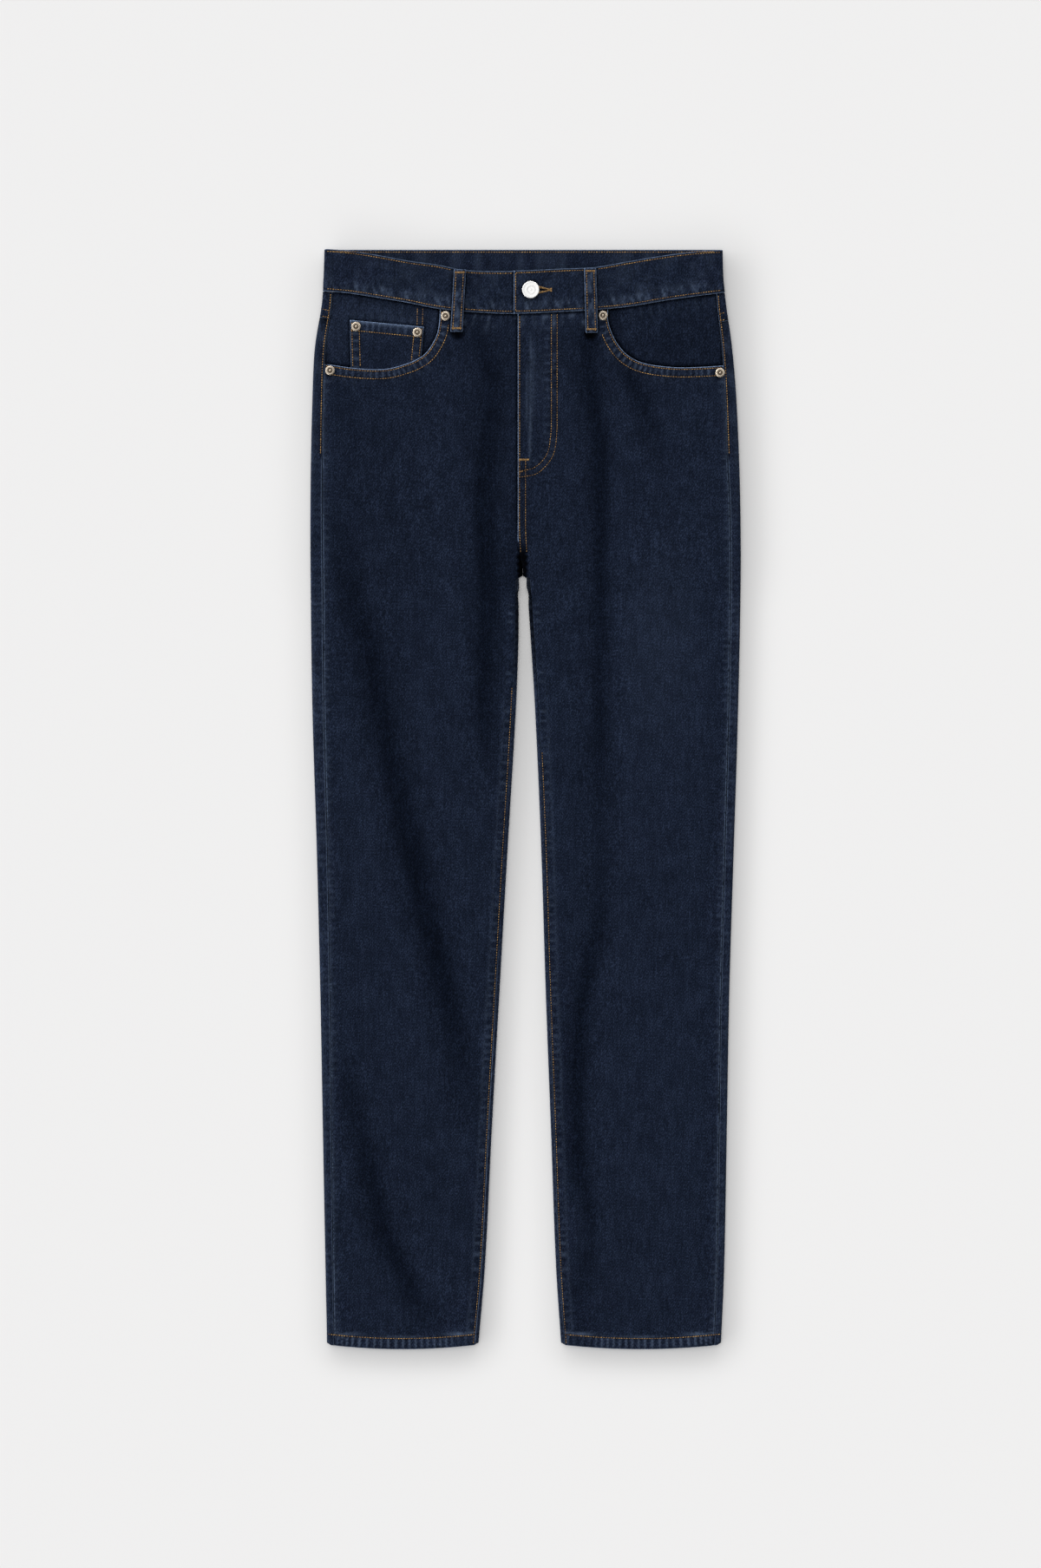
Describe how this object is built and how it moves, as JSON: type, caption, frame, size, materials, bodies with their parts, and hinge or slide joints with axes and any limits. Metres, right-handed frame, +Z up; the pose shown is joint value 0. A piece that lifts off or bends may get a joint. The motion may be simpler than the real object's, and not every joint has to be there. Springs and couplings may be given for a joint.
{
  "type": "jeans",
  "caption": "Straight-leg dark denim jeans, fastened and laid flat on their back, front up, with curved front pockets, a coin pocket and belt loops.",
  "frame": {"origin": "on the surface the garment lies on, under the middle of its outline", "axes": "+Y towards the waist, +Z up out of the front, the wearer's right at -X"},
  "size_m": [0.4267, 1.0899, 0.0127],
  "materials": {
    "denim": "dark blue washed denim twill",
    "denim_inside": "paler inner face of the denim",
    "thread": "golden brown topstitching thread",
    "button": "bright pressed steel",
    "rivet": "antique nickel-brass",
    "zip_metal": "plain metal"
  },
  "bodies": {
    "root": {"front_panel_right": "denim", "front_panel_left": "denim", "pocket_facing_right": "denim", "pocket_facing_left": "denim", "back_panel_right": "denim", "back_panel_left": "denim", "yoke_right": "denim", "yoke_left": "denim", "back_pocket_right": "denim", "back_pocket_left": "denim", "coin_pocket": "denim", "waistband": "denim", "belt_loop_front_right": "denim", "belt_loop_front_left": "denim", "belt_loop_back_right": "denim", "belt_loop_back_centre": "denim", "belt_loop_back_left": "denim", "zip": "denim", "zip_slider": "zip_metal", "button": "button", "rivet_coin_outer": "rivet", "rivet_coin_inner": "rivet", "rivet_right_front": "rivet", "rivet_right_side": "rivet", "rivet_left_front": "rivet", "rivet_left_side": "rivet"}
  },
  "joints": []
}
